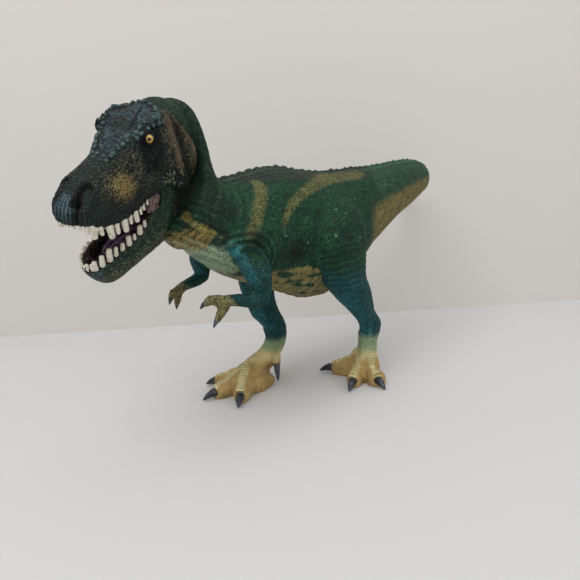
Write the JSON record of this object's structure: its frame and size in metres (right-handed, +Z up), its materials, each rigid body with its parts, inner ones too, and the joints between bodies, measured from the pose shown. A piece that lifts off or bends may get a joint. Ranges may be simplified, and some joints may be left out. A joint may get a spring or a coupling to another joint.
{
  "type": "toy dinosaur figure",
  "caption": "Striding toy tyrannosaur figure in moulded painted vinyl with a hinged lower jaw, tooth rows, tongue, inset eyes and claws, plugged tail, legs and arms.",
  "frame": {"origin": "centre of the figure's bounding box, on the ground under the soles", "axes": "-X the way the figure faces, -Y its left side, +Z up"},
  "size_m": [0.2804, 0.089, 0.1445],
  "materials": {
    "body_skin": "moulded vinyl, emerald green paint with black shading and two ochre bands",
    "leg_skin": "moulded vinyl, green thigh, teal shin fading to ochre feet",
    "arm_skin": "moulded vinyl, turquoise shoulder fading to olive hands",
    "head_skin": "moulded vinyl, dark grey-green paint with teal highlights",
    "mouth_lining": "smooth dark red-brown paint",
    "tongue": "satin purple paint",
    "teeth": "satin cream paint",
    "pin": "plain moulded plastic",
    "eye": "glossy amber paint with a black pupil",
    "claw": "satin blue-black paint"
  },
  "bodies": {
    "figure": {"body": "body_skin", "tail": "body_skin", "left_leg": "leg_skin", "right_leg": "leg_skin", "left_arm": "arm_skin", "right_arm": "arm_skin", "skull": "head_skin", "palate": "mouth_lining", "upper_teeth": "teeth", "jaw_hinge_pin": "pin", "left_eye": "eye", "right_eye": "eye", "left_inner_claw": "claw", "left_middle_claw": "claw", "left_outer_claw": "claw", "left_dew_claw": "claw", "right_inner_claw": "claw", "right_middle_claw": "claw", "right_outer_claw": "claw", "right_dew_claw": "claw", "left_upper_finger_claw": "claw", "left_lower_finger_claw": "claw", "right_upper_finger_claw": "claw", "right_lower_finger_claw": "claw"},
    "jaw": {"lower_jaw": "head_skin", "tongue": "tongue", "lower_teeth": "teeth"}
  },
  "joints": [
    {"name": "jaw_hinge", "type": "hinge", "parent": "figure", "child": "jaw", "pos_m": [-0.09304, -0.00294, 0.11696], "axis": [0.4193, -0.8542, -0.3074], "range_deg": [-10, 5]}
  ]
}
